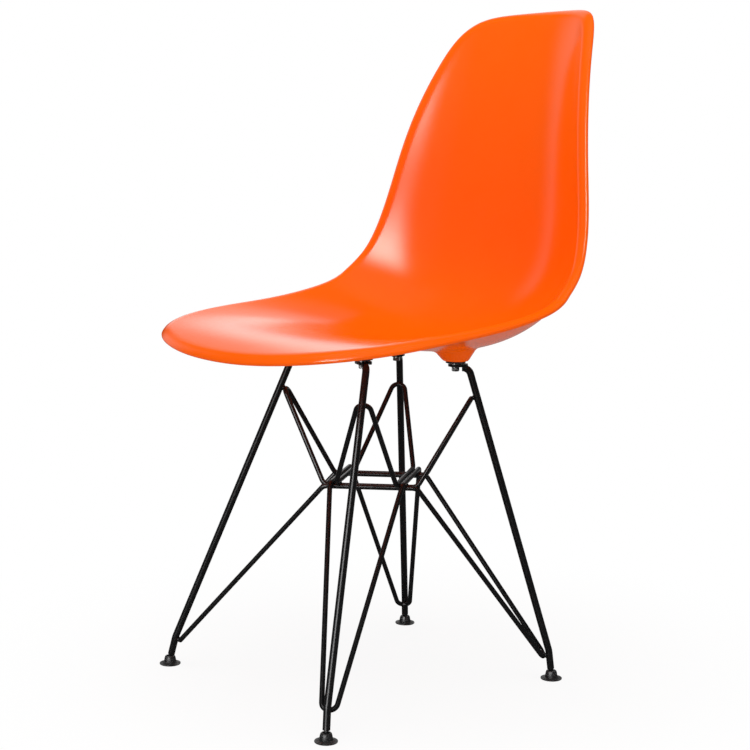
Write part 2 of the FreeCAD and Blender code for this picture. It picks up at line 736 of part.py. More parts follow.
def glide(name):
    """Plastic foot: a thin flange, a dome and a ball socket with a flared mouth."""
    edge = size("glide_diameter") / 2
    waist = size("glide_waist") / 2
    top = size("glide_top") / 2
    ball = size("ball_diameter") / 2 + size("ball_play")
    centre = size("ball_z")
    lip = size("socket_lip")
    crown = size("glide_crown")
    chamfer = size("glide_chamfer")
    flange = Vector(edge, 0, size("glide_edge"))
    foot = Vector(waist, 0, size("glide_waist_z"))
    shoulder = Vector(top, 0, size("glide_height") - crown)
    lip_angle = math.asin(lip / ball)
    half_way = (lip_angle - math.pi / 2) / 2
    # Each spot of the section, and the middle of the arc that leads on from it.
    spots = [
        (Vector(0, 0, 0), None),
        (Vector(edge - chamfer, 0, 0), None),
        (Vector(edge, 0, chamfer), None),
        (flange, bowed(flange, foot, -size("glide_hollow"))),
        (foot, bowed(foot, shoulder, size("glide_swell"))),
        (shoulder, None),
        (Vector(top - crown, 0, size("glide_height")), None),
        (Vector(size("socket_mouth") / 2, 0, size("glide_height")), None),
        (
            Vector(ball * math.cos(lip_angle), 0, centre + lip),
            Vector(ball * math.cos(half_way), 0, centre + ball * math.sin(half_way)),
        ),
        (Vector(0, 0, centre - ball), None),
    ]
    edges = []
    for (spot, middle), (after, _) in zip(spots, spots[1:] + spots[:1]):
        if middle is None:
            edges.append(Part.LineSegment(spot, after).toShape())
        else:
            edges.append(Part.Arc(spot, middle, after).toShape())
    section = shape_feature(name + "_section", Part.Wire(edges))
    body = doc.addObject("Part::Revolution", name)
    body.Source = section
    body.Axis = UP
    body.Angle = 360
    body.Solid = True
    return body


def heading_turn(leg):
    return Rotation(ACROSS, leg.heading)


for (end, side), leg in legs.items():
    corner = end + "_" + side
    plate_top = leg.bolt + UP * size("plate_thickness")
    spacer_top = plate_top + UP * size("spacer_thickness")
    boss_foot = spacer_top + UP * size("rubber_thickness")
    washer_foot = leg.bolt - UP * size("washer_thickness")
    spring_foot = washer_foot - UP * size("spring_washer_thickness")
    level = heading_turn(leg)

    insert = thread_insert(corner + "_insert")
    insert_foot = boss_foot + UP * size("insert_recess")
    finish_sub_part(insert, corner + "_insert", HOME * Placement(insert_foot, Rotation()))

    rubber = ring_feature(corner + "_rubber_washer", "rubber_diameter", BOLT_HOLE, "rubber_thickness")
    finish_sub_part(rubber, corner + "_rubber_washer", HOME * Placement(spacer_top, Rotation()))

    spacer = ring_feature(corner + "_spacer", "spacer_diameter", BOLT_HOLE, "spacer_thickness")
    finish_sub_part(spacer, corner + "_spacer", HOME * Placement(plate_top, Rotation()))

    plate = mount_plate(corner + "_plate")
    finish_sub_part(plate, corner + "_plate", HOME * Placement(leg.bolt, level))

    washer = ring_feature(corner + "_washer", "washer_diameter", BOLT_HOLE, "washer_thickness")
    finish_sub_part(washer, corner + "_washer", HOME * Placement(washer_foot, Rotation()))

    spring = spring_washer(corner + "_spring_washer")
    finish_sub_part(spring, corner + "_spring_washer", HOME * Placement(spring_foot, level))

    fixing = bolt(corner + "_bolt")
    finish_sub_part(fixing, corner + "_bolt", HOME * Placement(spring_foot, level))

    finish_sub_part(shape_feature(corner + "_leg", leg_rod(leg)), corner + "_leg", HOME)

    stud = ball_stud(corner + "_ball_stud")
    finish_sub_part(stud, corner + "_ball_stud", HOME * Placement(leg.ball, along(leg.lean)))

    foot = glide(corner + "_glide")
    finish_sub_part(foot, corner + "_glide", HOME * Placement(Vector(leg.ball.x, leg.ball.y, 0), Rotation()))

low_layer = size("crossing_z") - size("wire_rod") / 2 + size("weld_sink") / 2
high_layer = size("crossing_z") + size("wire_rod") / 2 - size("weld_sink") / 2
LOOPS = [
    ("lower_loop_right_front", "right", "left", "lower", low_layer),
    ("lower_loop_left_front", "left", "right", "lower", high_layer),
    ("upper_loop_right_front", "right", "left", "upper", low_layer),
    ("upper_loop_left_front", "left", "right", "upper", high_layer),
]
for name, front_side, rear_side, storey, layer in LOOPS:
    loop = Loop(legs["front", front_side], legs["rear", rear_side], storey, layer)
    finish_sub_part(shape_feature(name, loop.solid()), name, HOME)

doc.recompute()

for obj in doc.Objects:
    if "Invalid" in obj.State or "Error" in obj.State:
        raise RuntimeError(obj.Label + " failed to build")
for obj in sub_parts:
    if obj.Shape.isNull() or not obj.Shape.isValid():
        raise RuntimeError(obj.Label + " has a bad shape")
    if any(solid.Volume <= 0 for solid in obj.Shape.Solids) or not obj.Shape.Solids:
        raise RuntimeError(obj.Label + " has no solid")

os.makedirs("parts", exist_ok=True)
for obj in sub_parts:
    obj.Shape.exportStep("parts/" + obj.Label + ".step")
print("wrote %d sub-parts" % len(sub_parts))
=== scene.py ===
"""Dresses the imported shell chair: moulded orange seat on a welded black wire base, in a pale studio."""
import math

import bmesh
import bpy
import numpy as np
from mathutils import Matrix, Vector


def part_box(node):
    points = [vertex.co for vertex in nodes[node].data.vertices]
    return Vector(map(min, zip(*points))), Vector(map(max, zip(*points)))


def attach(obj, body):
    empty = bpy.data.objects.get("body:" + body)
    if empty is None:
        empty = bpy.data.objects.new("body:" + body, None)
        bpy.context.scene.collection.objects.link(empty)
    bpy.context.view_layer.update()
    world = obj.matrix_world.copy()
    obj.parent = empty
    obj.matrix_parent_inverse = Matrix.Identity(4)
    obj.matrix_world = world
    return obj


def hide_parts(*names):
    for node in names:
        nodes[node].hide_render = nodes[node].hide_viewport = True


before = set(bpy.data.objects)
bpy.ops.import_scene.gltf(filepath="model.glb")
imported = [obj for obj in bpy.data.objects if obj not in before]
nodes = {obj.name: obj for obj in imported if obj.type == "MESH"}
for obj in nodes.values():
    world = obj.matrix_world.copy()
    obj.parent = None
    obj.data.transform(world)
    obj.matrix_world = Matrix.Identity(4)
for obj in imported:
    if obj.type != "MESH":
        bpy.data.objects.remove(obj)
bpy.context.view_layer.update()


# The seat shell is one injection moulding in polypropylene, coloured right through.
# Its sheet is a shallow dish swept along the centre line, and a rim of constant radius rolls
# outwards and down from its edge. The roll ends in a rounded lip, which takes the last few degrees.
class Smooth:
    """Cubic curve through points, evenly bent at each, with its end slopes given or carried on."""

    def __init__(self, at, points, first=None, last=None):
        self.at = np.array(at, float)
        self.points = np.array(points, float)
        count = len(self.at)
        gap = np.diff(self.at)
        chord = np.diff(self.points, axis=0) / gap[:, None]
        system = np.eye(count)
        right = np.zeros_like(self.points)
        right[0] = np.polyfit(self.at[:4] - self.at[0], self.points[:4], 3)[2] if first is None else first
        right[-1] = np.polyfit(self.at[-4:] - self.at[-1], self.points[-4:], 3)[2] if last is None else last
        for i in range(1, count - 1):
            before = 1 / gap[i - 1]
            after = 1 / gap[i]
            system[i, i - 1:i + 2] = before, 2 * (before + after), after
            right[i] = 3 * (chord[i - 1] * before + chord[i] * after)
        self.slopes = np.linalg.solve(system, right)

    def __call__(self, where):
        i = np.clip(np.searchsorted(self.at, where) - 1, 0, len(self.at) - 2)
        gap = self.at[i + 1] - self.at[i]
        t = ((where - self.at[i]) / gap)[:, None]
        gap = gap[:, None]
        return (
            (1 + 2 * t) * (1 - t) ** 2 * self.points[i] + t * (1 - t) ** 2 * gap * self.slopes[i]
            + t * t * (3 - 2 * t) * self.points[i + 1] - t * t * (1 - t) * gap * self.slopes[i + 1]
        )


def chord_lengths(points):
    steps = np.linalg.norm(np.diff(np.array(points, float), axis=0), axis=1)
    return np.concatenate([[0], np.cumsum(steps)])


# Lengths are millimetres from the middle of the four feet, as in the part's source.
MM = 0.001
SEAT_LINE = [  # place, height, and rise of the section 200 mm from the centre line
    (-214.1, 417.7, 5.4), (-150, 428.3, 4.7), (-38, 420.2, 23.2), (59.9, 404.8, 49.4), (143.7, 412.7, 67.5),
    (197.8, 460.8, 71.5), (221, 543, 70), (229, 630, 78), (243, 729, 87.6), (265, 805.7, 88.2),
]
SHEET_EDGE = [  # share of the centre line's length, half width there
    (0, 0), (0.017, 107.9), (0.050, 161.5), (0.116, 197.8), (0.225, 205.8), (0.365, 205.2), (0.483, 199.4),
    (0.595, 190.8), (0.709, 172.5), (0.819, 150.1), (0.918, 124.1), (0.978, 96.6), (0.996, 53.8), (1, 0),
]
FRONT_CORNER = 2
TOP_CORNER = 11
DISH_REACH = 200
DISH_POWER = 2.2
WALL = 5.8
RIM_ROLL = 15.3
RIM_TURN = math.radians(70)
LIP_ROUND = 2.6
LIP_ANGLE = math.radians(50)
ROLL_STEPS = 7
ACROSS_STEPS = 48
ALONG_STEPS = 90
EVEN_OUT = 6
NEAR = 0.5
BORDER = 0.9999
DEEP_ORANGE = (0.97, 0.108, 0.0002, 1)
CLEAR_ORANGE = (1.0, 0.123, 0.0008, 1)

line_at = chord_lengths([(y, z) for y, z, rise in SEAT_LINE])
line_length = line_at[-1]
seat_line = Smooth(line_at, SEAT_LINE)
edge_points = [(half, share * line_length) for share, half in SHEET_EDGE]
edge_at = chord_lengths(edge_points)
sheet_edge = Smooth(edge_at, edge_points, first=(1, 0), last=(-1, 0))


def sheet(across, along):
    """Points of the sitter's face, from arrays of places across and along the centre line."""
    middle = seat_line(along)
    ahead = seat_line(np.minimum(along + NEAR, line_length))
    behind = seat_line(np.maximum(along - NEAR, 0))
    slope = (ahead - behind)[:, :2]
    slope /= np.linalg.norm(slope, axis=1)[:, None]
    rise = middle[:, 2] * (np.abs(across) / DISH_REACH) ** DISH_POWER
    return np.stack([across, middle[:, 0] - slope[:, 1] * rise, middle[:, 1] + slope[:, 0] * rise], 1)


def unit(vectors):
    return vectors / np.linalg.norm(vectors, axis=1)[:, None]


def sheet_slopes(across, along):
    """Slopes across and along the sheet, and the normal towards the sitter."""
    low = np.maximum(along - NEAR, 0)
    high = np.minimum(along + NEAR, line_length)
    run_along = (sheet(across, high) - sheet(across, low)) / (high - low)[:, None]
    run_across = (sheet(across + NEAR, along) - sheet(across - NEAR, along)) / (2 * NEAR)
    return run_across, run_along, unit(np.cross(run_across, run_along))


def rolled_rim(where, side, turn):
    """Points of the rim at outline places where, on the left or right side, after turning by turn."""
    spot = sheet_edge(where)
    across = spot[:, 0]
    along = np.clip(spot[:, 1], 0, line_length)
    run = sheet_edge(np.minimum(where + NEAR, edge_at[-1])) - sheet_edge(np.maximum(where - NEAR, 0))
    run_across, run_along, normal = sheet_slopes(across, along)
    edge = unit(run_along * run[:, 1:] + run_across * run[:, :1])
    outward = unit(np.cross(edge, normal))
    points = sheet(across, along) - normal * RIM_ROLL
    points += (outward * math.sin(turn) + normal * math.cos(turn)) * RIM_ROLL
    points[:, 0] *= side
    return points


def place(verts, points):
    """Moves vertices to points in millimetres from the middle of the feet."""
    for vert, (x, y, z) in zip(verts, points):
        vert.co = (x * MM, y * MM + feet_y, z * MM)


# The middle of the feet from front to back, halfway between the middles of the two left glides.
left_glides = [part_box(corner + "_glide") for corner in ("front_left", "rear_left")]
feet_y = sum(low.y + high.y for low, high in left_glides) / 4

shell = bmesh.new()
for layer in ("outline_at", "side"):
    shell.verts.layers.float.new(layer)
on_edge = shell.verts.layers.float["outline_at"]
on_side = shell.verts.layers.float["side"]
bmesh.ops.create_grid(shell, x_segments=ACROSS_STEPS, y_segments=ALONG_STEPS, size=1)
corner_at = edge_at[FRONT_CORNER]
top_at = edge_at[TOP_CORNER]


def edge_place(u, v):
    """Outline place for a point u, v on the border of the unit grid."""
    if abs(u) > BORDER:
        return corner_at + (top_at - corner_at) * (v + 1) / 2
    if v < 0:
        return abs(u) * corner_at
    return edge_at[-1] - abs(u) * (edge_at[-1] - top_at)


def flat_edge(u, v):
    half, along = sheet_edge(np.array([edge_place(u, v)]))[0]
    return np.array([math.copysign(half, u), along])


front_corner = flat_edge(1, -1)
top_corner = flat_edge(1, 1)
for vert in shell.verts:
    u, v = vert.co.x, vert.co.y
    t = (v + 1) / 2
    ends = flat_edge(u, -1) * (1 - t) + flat_edge(u, 1) * t
    sides = flat_edge(1, v) * (u, 1)
    corners = (front_corner * (1 - t) + top_corner * t) * (u, 1)
    vert[on_edge] = edge_place(u, v)
    vert[on_side] = math.copysign(1, u)
    vert.co = (*(ends + sides - corners), 0)
inner = [vert for vert in shell.verts if not vert.is_boundary]
for _ in range(EVEN_OUT):
    bmesh.ops.smooth_vert(shell, verts=inner, factor=0.5, use_axis_x=True, use_axis_y=True)
flat = np.array([vert.co[:2] for vert in shell.verts])
rim_edges = [edge for edge in shell.edges if edge.is_boundary]
place(shell.verts, sheet(flat[:, 0], np.clip(flat[:, 1], 0, line_length)))
for step in range(1, ROLL_STEPS + 1):
    grown = bmesh.ops.extrude_edge_only(shell, edges=rim_edges)["geom"]
    verts = [part for part in grown if isinstance(part, bmesh.types.BMVert)]
    rim_edges = [part for part in grown if isinstance(part, bmesh.types.BMEdge) and part.is_boundary]
    where = np.array([vert[on_edge] for vert in verts])
    side = np.array([vert[on_side] for vert in verts])
    place(verts, rolled_rim(where, side, RIM_TURN * step / ROLL_STEPS))


def finished_piece(mesh_source, name, body, material):
    """Turns a bmesh into a smooth-shaded piece that rides on a body."""
    mesh = bpy.data.meshes.new(name)
    mesh_source.to_mesh(mesh)
    mesh_source.free()
    for polygon in mesh.polygons:
        polygon.use_smooth = True
    piece = bpy.data.objects.new(name, mesh)
    bpy.context.scene.collection.objects.link(piece)
    mesh.materials.append(material)
    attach(piece, body)
    return piece


class Value:
    """A socket of a material's node; arithmetic on it adds Math nodes."""

    def __init__(self, finish, socket):
        self.finish = finish
        self.socket = socket

    def math(self, operation, a, b):
        return self.finish.node("ShaderNodeMath", {"operation": operation}, {0: a, 1: b})

    def __add__(self, other):
        return self.math("ADD", self, other)

    def __sub__(self, other):
        return self.math("SUBTRACT", self, other)

    def __rsub__(self, other):
        return self.math("SUBTRACT", other, self)

    def __mul__(self, other):
        return self.math("MULTIPLY", self, other)

    __radd__ = __add__
    __rmul__ = __mul__


class Finish:
    """A material or a world, and the one method that adds nodes to it."""

    def __init__(self, name, blocks=bpy.data.materials):
        self.material = blocks.new(name)
        self.material.use_nodes = True
        self.tree = self.material.node_tree
        self.tree.nodes.clear()
        self.place = self.node("ShaderNodeTexCoord", output="Object")

    def node(self, kind, settings=(), inputs=(), output=0):
        made = self.tree.nodes.new(kind)
        for name, value in dict(settings).items():
            setattr(made, name, value)
        for name, value in dict(inputs).items():
            if isinstance(value, Value):
                self.tree.links.new(value.socket, made.inputs[name])
            else:
                made.inputs[name].default_value = value
        return Value(self, made.outputs[output])

    def noise(self, scale, detail=2.0, roughness=0.5, place=None):
        inputs = {"Vector": place or self.place, "Scale": scale, "Detail": detail, "Roughness": roughness}
        return self.node("ShaderNodeTexNoise", {}, inputs)

    def blend(self, share, first, second):
        settings = {"data_type": "RGBA"}
        inputs = {"Factor": share, 6: first, 7: second}
        return self.node("ShaderNodeMix", settings, inputs, 2)

    def bump(self, height, strength, distance):
        return self.node("ShaderNodeBump", {}, {"Height": height, "Strength": strength, "Distance": distance})

    def surface(self, inputs):
        shader = self.node("ShaderNodeBsdfPrincipled", {}, inputs)
        self.node_output(shader)
        return self.material

    def node_output(self, shader, kind="ShaderNodeOutputMaterial"):
        out = self.tree.nodes.new(kind)
        self.tree.links.new(shader.socket, out.inputs["Surface"])


def shell_plastic():
    """Satin polypropylene: the mould's fine grain, faint flow clouds and a little uneven polish."""
    finish = Finish("orange_shell_plastic")
    clouds = finish.noise(7, 3, 0.6)
    flow = finish.noise(26, 4, 0.55)
    grain = finish.noise(1500, 2, 0.6)
    ripple = finish.noise(90, 2, 0.5)
    colour = finish.blend(clouds * 0.6 + flow * 0.4, DEEP_ORANGE, CLEAR_ORANGE)
    relief = finish.bump(grain * 0.6 + ripple * 0.4, 0.12, 0.00025)
    return finish.surface({
        "Base Color": colour,
        "Roughness": 0.16 + (flow - 0.5) * 0.05 + (grain - 0.5) * 0.04,
        "IOR": 1.47,
        "Normal": relief,
    })


orange = shell_plastic()
seat = finished_piece(shell, "seat_shell_moulding", "chair", orange)
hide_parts("seat_shell")
wall = seat.modifiers.new("wall", "SOLIDIFY")
wall.thickness = WALL * MM
wall.offset = -1
wall.use_even_offset = True
lip = seat.modifiers.new("lip", "BEVEL")
lip.width = LIP_ROUND * MM
lip.segments = 3
lip.limit_method = "ANGLE"
lip.angle_limit = LIP_ANGLE
skin = seat.modifiers.new("skin", "SUBSURF")
skin.levels = 1
skin.render_levels = 1


# The four bosses are part of the same moulding: hollow cones under the seat that the base bolts to.
# Each has a flat foot with a small edge radius and runs into the underside with a soft fillet.
BOSS_FOOT = 31 / 2
BOSS_ROOT = 53 / 2
BOSS_BORE = 5
FOOT_EDGE = [(-0.9, 0), (-0.3, 0.2), (0.1, 0.8)]  # outwards from the foot's radius, and up
CONE_START = 2
BOSS_FILLET = 4
FILLET_SHARES = (0, 0.2, 0.4, 0.6, 0.8, 1)
SKIN_GAP = 0.04
TUCK_OUT = 0.5
TUCK_IN = 0.6
BOSS_SIDES = 72
SEEK_STEPS = 12
SEARCH_STEPS = 20
MOUNTS = {  # place across, along, and height of the plate's underside
    "front_left": (58.5, -51.5, 395.5),
    "front_right": (-58.5, -51.5, 395.5),
    "rear_left": (58.5, 88, 382.5),
    "rear_right": (-58.5, 88, 382.5),
}
STACK = 3 + 1.4 + 2.5  # plate, spacer and rubber washer
round_angles = np.arange(BOSS_SIDES) * 2 * math.pi / BOSS_SIDES
around = np.stack([np.cos(round_angles), np.sin(round_angles), np.zeros(BOSS_SIDES)], 1)


def under_seat(x, y):
    """Points of the seat's underside above places x, y, and the normals there, towards the sitter."""
    across = x.copy()
    along = np.interp(y, [p[0] for p in SEAT_LINE], line_at)
    for _ in range(SEEK_STEPS):
        normal = sheet_slopes(across, along)[2]
        miss = sheet(across, along) - normal * WALL
        across += x - miss[:, 0]
        along += y - miss[:, 1]
    normal = sheet_slopes(across, along)[2]
    return sheet(across, along) - normal * WALL, normal


for corner, (bolt_x, bolt_y, plate_z) in MOUNTS.items():
    foot_middle = np.array([bolt_x, bolt_y, plate_z + STACK])
    head, normal = under_seat(np.array([bolt_x]), np.array([bolt_y]))
    root_middle = head[0] + normal[0] * WALL / 2
    turned = np.array(Vector((0, 0, 1)).rotation_difference(Vector(normal[0])).to_matrix())
    root_ring = root_middle + around @ turned.T * BOSS_ROOT
    foot_ring = foot_middle + around * BOSS_FOOT
    low = np.zeros(BOSS_SIDES)
    high = np.ones(BOSS_SIDES)
    for _ in range(SEARCH_STEPS):
        share = (low + high) / 2
        point = foot_ring + (root_ring - foot_ring) * share[:, None]
        inside = point[:, 2] > under_seat(point[:, 0], point[:, 1])[0][:, 2]
        high = np.where(inside, share, high)
        low = np.where(inside, low, share)
    meet = foot_ring + (root_ring - foot_ring) * low[:, None]
    slant = unit(root_ring - foot_ring)
    spread_x = meet[:, 0] + around[:, 0] * BOSS_FILLET
    spread_y = meet[:, 1] + around[:, 1] * BOSS_FILLET
    spread, spread_normal = under_seat(spread_x, spread_y)
    start = meet - slant * BOSS_FILLET
    rings = [foot_middle + around * BOSS_BORE]
    rings += [foot_middle + around * (BOSS_FOOT + out) + (0, 0, up) for out, up in FOOT_EDGE]
    rings.append(foot_ring + slant * CONE_START)
    end = spread - spread_normal * SKIN_GAP
    rings += [start * (1 - t) ** 2 + meet * 2 * t * (1 - t) + end * t * t for t in FILLET_SHARES]
    rings.append(spread + around * TUCK_OUT + spread_normal * TUCK_IN)
    boss = bmesh.new()
    bmesh.ops.create_circle(boss, segments=BOSS_SIDES, radius=1)
    grown = list(boss.verts)
    place(grown, rings[0])
    loop = list(boss.edges)
    for ring in rings[1:]:
        geometry = bmesh.ops.extrude_edge_only(boss, edges=loop)["geom"]
        fresh = [part for part in geometry if isinstance(part, bmesh.types.BMVert)]
        loop = [e for e in geometry if isinstance(e, bmesh.types.BMEdge) and e.is_boundary]
        order = {}
        for vert in fresh:
            offset = vert.co - Vector((foot_middle[0] * MM, foot_middle[1] * MM + feet_y, 0))
            angle = math.atan2(offset.y, offset.x) % (2 * math.pi)
            order[vert] = round(angle / (2 * math.pi) * BOSS_SIDES) % BOSS_SIDES
        place(fresh, [ring[order[vert]] for vert in fresh])
    bmesh.ops.recalc_face_normals(boss, faces=boss.faces)
    finished_piece(boss, "seat_boss_" + corner, "chair", orange)


# The base is bent from solid steel rod, 8.6 mm for the legs and 6 mm for the wire loops.
# Rods, loops and mounting plates are welded together and then powder coated black in one go, so
# one satin coat with a faint orange peel runs over all of them.
CORNERS = ("front_left", "front_right", "rear_left", "rear_right")
LOOPS = ("lower_loop_right_front", "lower_loop_left_front", "upper_loop_right_front", "upper_loop_left_front")
COAT_DARK = (0.0065, 0.0065, 0.0068, 1)
COAT_PALE = (0.0105, 0.0103, 0.0106, 1)


def powder_coat():
    finish = Finish("black_powder_coat")
    peel = finish.noise(520, 2, 0.45)
    dust = finish.noise(1900, 1, 0.5)
    patches = finish.noise(14, 3, 0.55)
    colour = finish.blend(patches, COAT_DARK, COAT_PALE)
    relief = finish.bump(peel * 0.75 + dust * 0.25, 0.22, 0.0003)
    return finish.surface({
        "Base Color": colour,
        "Roughness": 0.27 + (patches - 0.5) * 0.10 + (dust - 0.5) * 0.08,
        "IOR": 1.33,
        "Normal": relief,
    })


def paint(names, material):
    """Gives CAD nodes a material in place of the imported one."""
    for name in names:
        slots = nodes[name].data.materials
        slots.clear()
        slots.append(material)


black = powder_coat()
for kind in ("leg", "plate", "ball_stud"):
    paint([c + "_" + kind for c in CORNERS], black)
paint(LOOPS, black)


# Weld beads, under the same coat: one at each of the places where two wires cross, and one where
# each hairpin of a loop sits on its leg. Each is a small flattened lump between the two rods.
LOOP_YAW = math.radians(48.5)
LOOP_SHIFT = 9
BAR_SKEW = 3
BAR_REACH = (-46, 66)
HALF_GAPS = (43.3, 35.8)
CROSSING_HEIGHT = 244
LEG_ROD = 8.6
BEAD = (3.6, 3.0, 1.9)
LEGS = {  # ankle, shoulder, foot, and the heights of the lower and upper hairpins
    "front": ((164.2, -171.9, 35.3), (74, -57.2, 393.9), (169.4, -176.8, 6.2), (33, 353)),
    "rear": ((143.9, 174, 35.3), (68.7, 100.5, 380.9), (146.4, 176.8, 6.2), (29.5, 346)),
}


def bar_lines(side):
    """The four bars that run one way: the way across them, the way along them, and their offsets."""
    run = np.array([-side * math.cos(LOOP_YAW), math.sin(LOOP_YAW)])
    across = np.array([side * math.sin(LOOP_YAW), math.cos(LOOP_YAW)])
    return across, run, [(LOOP_SHIFT + bar * half, bar) for half in HALF_GAPS for bar in (-1, 1)]


def on_bar(point, run, bar):
    return BAR_REACH[0] + bar * BAR_SKEW < point @ run < BAR_REACH[1] + bar * BAR_SKEW


beads = []  # middle, and the direction from one rod to the other
low_across, low_run, low_bars = bar_lines(-1)
high_across, high_run, high_bars = bar_lines(1)
for low_offset, low_bar in low_bars:
    for high_offset, high_bar in high_bars:
        spot = np.linalg.solve(np.array([low_across, high_across]), [low_offset, high_offset])
        if on_bar(spot, low_run, low_bar) and on_bar(spot, high_run, high_bar):
            beads.append((Vector((*spot, CROSSING_HEIGHT)), Vector((0, 0, 1))))
for ankle, shoulder, foot, weld_heights in LEGS.values():
    for side in (1, -1):
        spots = [Vector((side * x, y, z)) for x, y, z in (foot, ankle, shoulder)]
        for height in weld_heights:
            low, high = spots[:2] if height < ankle[2] else spots[1:]
            rise = high - low
            spot = low + rise * ((height - low.z) / rise.z)
            inward = -Vector((spot.x, spot.y, 0)).normalized()
            inward = (inward - rise * (inward.dot(rise) / rise.length_squared)).normalized()
            beads.append((spot + inward * LEG_ROD / 2, inward))
welds = bmesh.new()
for middle, between in beads:
    turn = Vector((0, 0, 1)).rotation_difference(between).to_matrix().to_4x4()
    place_at = Matrix.Translation(middle * MM + Vector((0, feet_y, 0)))
    shape = place_at @ turn @ Matrix.Diagonal((*(length * MM for length in BEAD), 1))
    bmesh.ops.create_icosphere(welds, subdivisions=3, radius=1, matrix=shape)
finished_piece(welds, "weld_beads", "chair", black)


# A hexagon bolt holds each boss from below, with a spring washer and a plain washer under the plate
# and a spacer over it. All four are zinc-plated steel, bright with slightly cloudy plating.
ZINC_GREY = (0.50, 0.50, 0.49, 1)
ZINC_BRIGHT = (0.70, 0.70, 0.69, 1)


def zinc_plate():
    finish = Finish("zinc_plated_steel")
    clouds = finish.noise(220, 3, 0.6)
    fine = finish.noise(1600, 2, 0.5)
    colour = finish.blend(clouds, ZINC_GREY, ZINC_BRIGHT)
    relief = finish.bump(fine, 0.15, 0.0001)
    return finish.surface({
        "Base Color": colour,
        "Metallic": 1.0,
        "Roughness": 0.26 + (clouds - 0.5) * 0.2,
        "Normal": relief,
    })


zinc = zinc_plate()
for kind in ("bolt", "washer", "spring_washer", "spacer"):
    paint([c + "_" + kind for c in CORNERS], zinc)


# Threaded steel inserts, plated yellow, are moulded into the bosses, and the bolts screw into them.
# On the finished chair the plates and washers hide them.
YELLOW_DULL = (0.42, 0.36, 0.22, 1)
YELLOW_BRIGHT = (0.58, 0.52, 0.34, 1)


def insert_steel():
    finish = Finish("insert_steel")
    clouds = finish.noise(300, 2, 0.5)
    colour = finish.blend(clouds, YELLOW_DULL, YELLOW_BRIGHT)
    return finish.surface({"Base Color": colour, "Metallic": 1.0, "Roughness": 0.35 + (clouds - 0.5) * 0.15})


paint([c + "_insert" for c in CORNERS], insert_steel())


# Rubber washers cushion the shell on the base: matt black discs, a little dusty, each clamped
# between a boss and the spacer on its plate.
RUBBER_BLACK = (0.012, 0.012, 0.012, 1)
RUBBER_BLOOM = (0.026, 0.025, 0.024, 1)


def washer_rubber():
    finish = Finish("washer_rubber")
    bloom = finish.noise(160, 3, 0.6)
    pores = finish.noise(2200, 1, 0.5)
    colour = finish.blend(bloom, RUBBER_BLACK, RUBBER_BLOOM)
    relief = finish.bump(pores, 0.25, 0.0002)
    return finish.surface({"Base Color": colour, "Roughness": 0.72 + (bloom - 0.5) * 0.16, "Normal": relief})


paint([c + "_rubber_washer" for c in CORNERS], washer_rubber())


# The glides are moulded black plastic feet, flared towards the floor. Each snaps on the ball stud in
# its leg's end and tilts to sit flat.
GLIDE_BLACK = (0.014, 0.014, 0.0145, 1)
GLIDE_WORN = (0.026, 0.026, 0.027, 1)


def glide_plastic():
    finish = Finish("glide_plastic")
    clouds = finish.noise(120, 3, 0.6)
    grain = finish.noise(1700, 2, 0.5)
    colour = finish.blend(clouds, GLIDE_BLACK, GLIDE_WORN)
    relief = finish.bump(grain, 0.2, 0.0002)
    return finish.surface({"Base Color": colour, "Roughness": 0.42 + (clouds - 0.5) * 0.12, "Normal": relief})


paint([c + "_glide" for c in CORNERS], glide_plastic())


# The studio: a pale floor that fades into white, even soft light from all round, and a lamp overhead.
# The gloss sees a dark surround, with a tall bright panel in front of the chair and pale patches across
# from the camera.
WHITE = (1, 1, 1, 1)
FLOOR_GREY = (0.8, 0.8, 0.8, 1)
FLOOR_RADIUS = 12
FLOOR_WHITE = 0.88
WHITE_FROM = (0.2, 0.7)
SHEEN = (0.04, 0.28)
SHEEN_FROM = (0.2, 1.2)
AWAY = (-0.8, 0.6, 0)  # away from the camera, along the floor
floor_mesh = bmesh.new()
bmesh.ops.create_circle(floor_mesh, cap_ends=True, segments=96, radius=FLOOR_RADIUS)
floor_data = bpy.data.meshes.new("floor")
floor_mesh.to_mesh(floor_data)
floor_mesh.free()
floor = bpy.data.objects.new("floor", floor_data)
bpy.context.scene.collection.objects.link(floor)


def floor_paint():
    """Matt and pale under the chair, white further off, and dim in the gloss of the chair itself."""
    finish = Finish("pale_floor")
    distance = finish.node("ShaderNodeVectorMath", {"operation": "LENGTH"}, {0: finish.place}, "Value")
    fade = {"From Min": WHITE_FROM[0], "From Max": WHITE_FROM[1], "To Min": FLOOR_WHITE, "To Max": 1.0}
    far = finish.node("ShaderNodeMapRange", {"interpolation_type": "SMOOTHSTEP"}, {"Value": distance, **fade})
    matt = finish.node("ShaderNodeBsdfDiffuse", {}, {"Color": FLOOR_GREY})
    white = finish.node("ShaderNodeEmission", {}, {"Color": WHITE, "Strength": 1.0})
    seen = finish.node("ShaderNodeLightPath", output="Is Camera Ray")
    gleam = finish.node("ShaderNodeLightPath", output="Is Glossy Ray")
    dot = {"operation": "DOT_PRODUCT"}
    behind = finish.node("ShaderNodeVectorMath", dot, {0: finish.place, 1: AWAY}, "Value")
    rise = {"From Min": SHEEN_FROM[0], "From Max": SHEEN_FROM[1], "To Min": SHEEN[0], "To Max": SHEEN[1]}
    glow = finish.node("ShaderNodeMapRange", {"interpolation_type": "SMOOTHSTEP"}, {"Value": behind, **rise})
    dim = finish.node("ShaderNodeEmission", {}, {"Color": WHITE, "Strength": glow})
    lit = finish.node("ShaderNodeMixShader", {}, {0: far * seen, 1: matt, 2: white})
    finish.node_output(finish.node("ShaderNodeMixShader", {}, {0: gleam, 1: lit, 2: dim}))
    return finish.material


floor_data.materials.append(floor_paint())

